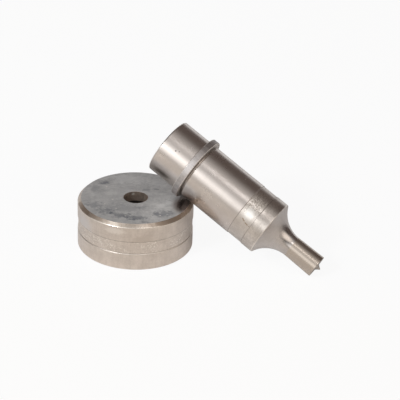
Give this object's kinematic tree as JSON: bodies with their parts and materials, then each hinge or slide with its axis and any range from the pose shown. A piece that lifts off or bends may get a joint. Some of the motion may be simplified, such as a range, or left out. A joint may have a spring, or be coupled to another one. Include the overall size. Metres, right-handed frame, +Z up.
{
  "type": "turret punch and die set",
  "caption": "Round punch with a large hollow flare, a centring nib and a loose lift ring, leaning on its round die with a chamfered rim and relieved bore.",
  "frame": {"origin": "centre of the die's base, on the axis of its bore", "axes": "+Z up along the die's axis; +X is the way the leaning punch points, seen from above"},
  "size_m": [0.1159, 0.0582, 0.0575],
  "materials": {
    "die_steel": "turned and ground tool steel, fine turning marks, ground top face",
    "punch_steel": "ground and polished tool steel, slightly stained",
    "ring_steel": "dull steel with fine marks across its width"
  },
  "bodies": {
    "die": {"die": "die_steel"},
    "punch": {"punch": "punch_steel"},
    "lift_ring": {"lift_ring": "ring_steel"}
  },
  "joints": [
    {"name": "punch_lift", "type": "slide", "parent": "die", "child": "punch", "axis": [0, 0, 1], "range_m": [0, 0.04]},
    {"name": "ring_turn", "type": "hinge", "parent": "punch", "child": "lift_ring", "pos_m": [0.02263, 0.01555, 0.0379], "axis": [0.8877, 0, -0.4604], "continuous": true}
  ]
}
